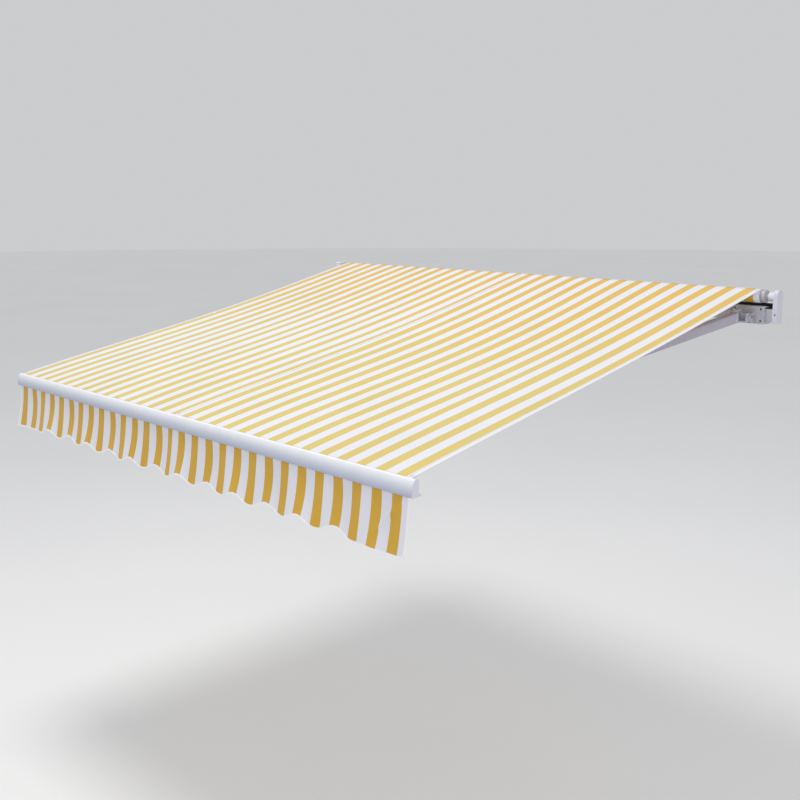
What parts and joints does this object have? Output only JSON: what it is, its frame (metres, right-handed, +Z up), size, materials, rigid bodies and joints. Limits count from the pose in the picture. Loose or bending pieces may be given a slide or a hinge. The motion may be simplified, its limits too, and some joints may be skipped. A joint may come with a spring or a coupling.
{
  "type": "folding-arm awning",
  "caption": "Folding-arm patio awning, opened out: striped fabric canopy and valance, roller with hand-crank gear, torsion bar, wall brackets, without the wall.",
  "frame": {"origin": "on the wall's face, at the back of the middle wall bracket, level with the centre of the torsion bar", "axes": "+X along the awning to the right as seen from in front, +Y into the wall, +Z up"},
  "size_m": [3.0616, 2.3494, 0.7496],
  "materials": {
    "awning_cloth": "woven acrylic, yellow and white stripes",
    "white_plastic": "white, smooth",
    "black_rubber": "matt black",
    "grey_nylon": "grey nylon",
    "gear_brass": "machined",
    "spring_steel": "oiled",
    "bolt_zinc": "zinc plated",
    "galvanised_steel": "steel, grey enamel",
    "white_enamel": "white powder coat",
    "arm_enamel": "light grey powder coat",
    "cast_alloy": "cast, powder coated"
  },
  "bodies": {
    "wall_frame": {"bracket_bolt_centre": "bolt_zinc", "bracket_bolt_left": "bolt_zinc", "bracket_bolt_right": "bolt_zinc", "end_bracket_left": "white_enamel", "end_bracket_right": "white_enamel", "end_cover_left": "white_plastic", "end_cover_right": "white_plastic", "gearbox_case": "white_enamel", "gearbox_lid": "white_enamel", "pitch_bolt_left": "bolt_zinc", "pitch_bolt_right": "bolt_zinc", "roller_bush": "grey_nylon", "shoulder_clamp_left": "arm_enamel", "shoulder_clamp_right": "arm_enamel", "torsion_bar": "galvanised_steel", "wall_bracket_centre": "galvanised_steel", "wall_bracket_left": "galvanised_steel", "wall_bracket_right": "galvanised_steel", "weather_strip": "black_rubber"},
    "roller": {"roller_tube": "galvanised_steel", "roller_plug_left": "cast_alloy", "roller_plug_right": "cast_alloy", "fabric_roll": "awning_cloth", "gear_wheel": "gear_brass"},
    "crank": {"crank_worm": "galvanised_steel"},
    "canopy_cloth": {"canopy": "awning_cloth"},
    "front_rail": {"front_bar": "white_enamel", "front_bar_cap_left": "white_plastic", "front_bar_cap_right": "white_plastic", "valance": "awning_cloth", "front_bracket_left": "cast_alloy", "front_bracket_right": "cast_alloy", "front_pin_left": "bolt_zinc", "front_pin_right": "bolt_zinc"},
    "pitch_block_left": {"pitch_fork_left": "arm_enamel", "shoulder_pin_left": "bolt_zinc"},
    "inner_left": {"inner_arm_left": "arm_enamel", "inner_arm_shoulder_end_left": "cast_alloy", "elbow_fork_left": "cast_alloy", "elbow_pin_left": "bolt_zinc", "arm_spring_left": "spring_steel"},
    "outer_left": {"outer_arm_left": "arm_enamel", "elbow_tongue_left": "cast_alloy", "outer_arm_front_end_left": "cast_alloy"},
    "pitch_block_right": {"pitch_fork_right": "arm_enamel", "shoulder_pin_right": "bolt_zinc"},
    "inner_right": {"inner_arm_right": "arm_enamel", "inner_arm_shoulder_end_right": "cast_alloy", "elbow_fork_right": "cast_alloy", "elbow_pin_right": "bolt_zinc", "arm_spring_right": "spring_steel"},
    "outer_right": {"outer_arm_right": "arm_enamel", "elbow_tongue_right": "cast_alloy", "outer_arm_front_end_right": "cast_alloy"}
  },
  "joints": [
    {"name": "roller_spin", "type": "hinge", "parent": "wall_frame", "child": "roller", "pos_m": [0, -0.075, 0.085], "axis": [1, 0, 0], "continuous": true},
    {"name": "crank_spin", "type": "hinge", "parent": "wall_frame", "child": "crank", "pos_m": [-1.4895, -0.112, 0], "axis": [0, 0, 1], "continuous": true},
    {"name": "right_pitch", "type": "hinge", "parent": "wall_frame", "child": "pitch_block_right", "pos_m": [1.374, -0.129, -0.011], "axis": [1, 0, 0], "range_deg": [-3, 5]},
    {"name": "left_pitch", "type": "hinge", "parent": "wall_frame", "child": "pitch_block_left", "pos_m": [-1.374, -0.129, -0.011], "axis": [1, 0, 0], "range_deg": [-3, 5]},
    {"name": "canopy_swing", "type": "hinge", "parent": "wall_frame", "child": "canopy_cloth", "pos_m": [0, -0.075, 0.085], "axis": [1, 0, 0], "range_deg": [-3, 5]},
    {"name": "right_shoulder", "type": "hinge", "parent": "pitch_block_right", "child": "inner_right", "pos_m": [1.36, -0.167, -0.005], "axis": [0, 0.1795, -0.9838], "range_deg": [0, 78], "deforming": ["canopy"]},
    {"name": "right_elbow", "type": "hinge", "parent": "inner_right", "child": "outer_right", "pos_m": [1.22627, -1.2084, -0.19501], "axis": [0, -0.1795, 0.9838], "range_deg": [0, 156]},
    {"name": "right_front", "type": "hinge", "parent": "outer_right", "child": "front_rail", "pos_m": [1.36, -2.24979, -0.38501], "axis": [0, 0.1795, -0.9838], "range_deg": [0, 78]},
    {"name": "left_shoulder", "type": "hinge", "parent": "pitch_block_left", "child": "inner_left", "pos_m": [-1.36, -0.167, -0.005], "axis": [0, -0.1795, 0.9838], "range_deg": [0, 78]},
    {"name": "left_elbow", "type": "hinge", "parent": "inner_left", "child": "outer_left", "pos_m": [-1.22627, -1.2084, -0.19501], "axis": [0, 0.1795, -0.9838], "range_deg": [0, 156]}
  ],
  "couplings": [
    {"joint": "crank_spin", "follows": "roller_spin", "ratio": 11},
    {"joint": "left_pitch", "follows": "right_pitch", "ratio": 1},
    {"joint": "canopy_swing", "follows": "right_pitch", "ratio": 0.97},
    {"joint": "right_elbow", "follows": "right_shoulder", "ratio": 2},
    {"joint": "right_front", "follows": "right_shoulder", "ratio": 1},
    {"joint": "left_shoulder", "follows": "right_shoulder", "ratio": 1},
    {"joint": "left_elbow", "follows": "right_shoulder", "ratio": 2}
  ]
}
